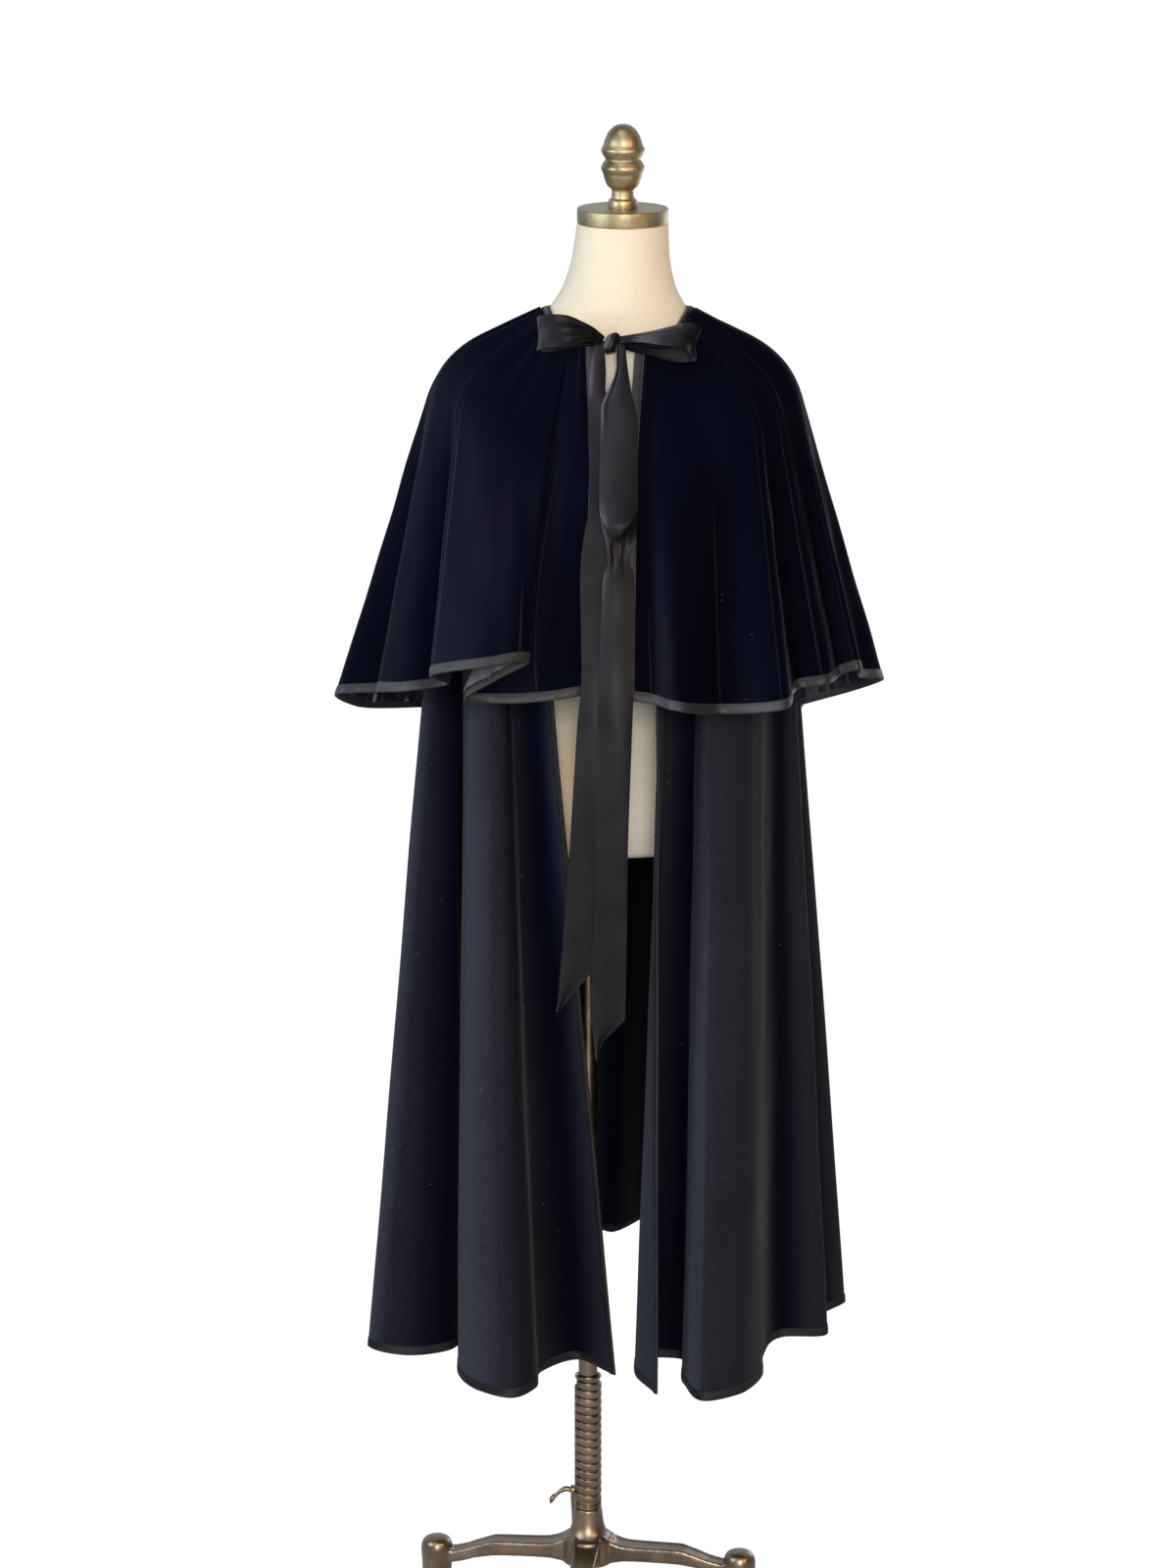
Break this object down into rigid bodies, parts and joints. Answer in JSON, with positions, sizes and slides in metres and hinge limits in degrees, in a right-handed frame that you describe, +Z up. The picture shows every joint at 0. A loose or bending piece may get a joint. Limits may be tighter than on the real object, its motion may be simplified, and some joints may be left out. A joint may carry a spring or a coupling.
{
  "type": "two-tier cape on a dress form with a stand",
  "caption": "Long wool cape with a gathered velvet caplet and a satin bow at the neck, worn by a limbless linen dress form on a brass pole stand with spread legs.",
  "frame": {"origin": "middle of the part's box on the floor, with the feet standing at zero height", "axes": "+Z up, -Y to the cape's open front, +X to the right as seen from the front"},
  "size_m": [0.6068, 0.5458, 1.6523],
  "materials": {
    "wool": "black wool twill, brushed",
    "velvet": "black velvet with nap",
    "satin": "black satin ribbon, binding and lining",
    "linen": "cream linen over a firm body",
    "brass": "aged brass",
    "bronze": "dark cast brass"
  },
  "bodies": {
    "base": {"hub": "bronze", "coil_sleeve": "bronze", "leg_front": "bronze", "foot_front": "bronze", "leg_back": "bronze", "foot_back": "bronze", "leg_left": "bronze", "foot_left": "bronze", "leg_right": "bronze", "foot_right": "bronze"},
    "mast": {"pole": "bronze"},
    "form": {"form_torso": "linen", "form_collar": "bronze", "neck_cap": "brass", "finial": "brass", "cape_front_left": "wool", "cape_back": "wool", "cape_front_right": "wool", "cape_edge_left": "satin", "cape_edge_right": "satin", "cape_hem_left": "satin", "cape_hem_back": "satin", "cape_hem_right": "satin", "caplet_front_left": "velvet", "caplet_back": "velvet", "caplet_front_right": "velvet", "caplet_edge_left": "satin", "caplet_edge_right": "satin", "caplet_hem_left": "satin", "caplet_hem_back": "satin", "caplet_hem_right": "satin", "caplet_lining_left": "satin", "caplet_lining_back": "satin", "caplet_lining_right": "satin", "neckband": "satin", "bow_loop_left": "satin", "bow_loop_right": "satin", "bow_knot": "satin", "tail_left": "satin", "tail_right": "satin"},
    "lever": {"clamp_lever": "bronze"}
  },
  "joints": [
    {"name": "height_slide", "type": "slide", "parent": "base", "child": "mast", "axis": [0, 0, 1], "range_m": [-0.04, 0.1]},
    {"name": "form_turn", "type": "hinge", "parent": "mast", "child": "form", "pos_m": [-0.0265, -0.0036, 0.829], "axis": [0, 0, 1], "continuous": true},
    {"name": "lever_turn", "type": "hinge", "parent": "base", "child": "lever", "pos_m": [-0.0428, -0.0036, 0.1255], "axis": [1, 0, 0], "range_deg": [0, 150]}
  ]
}
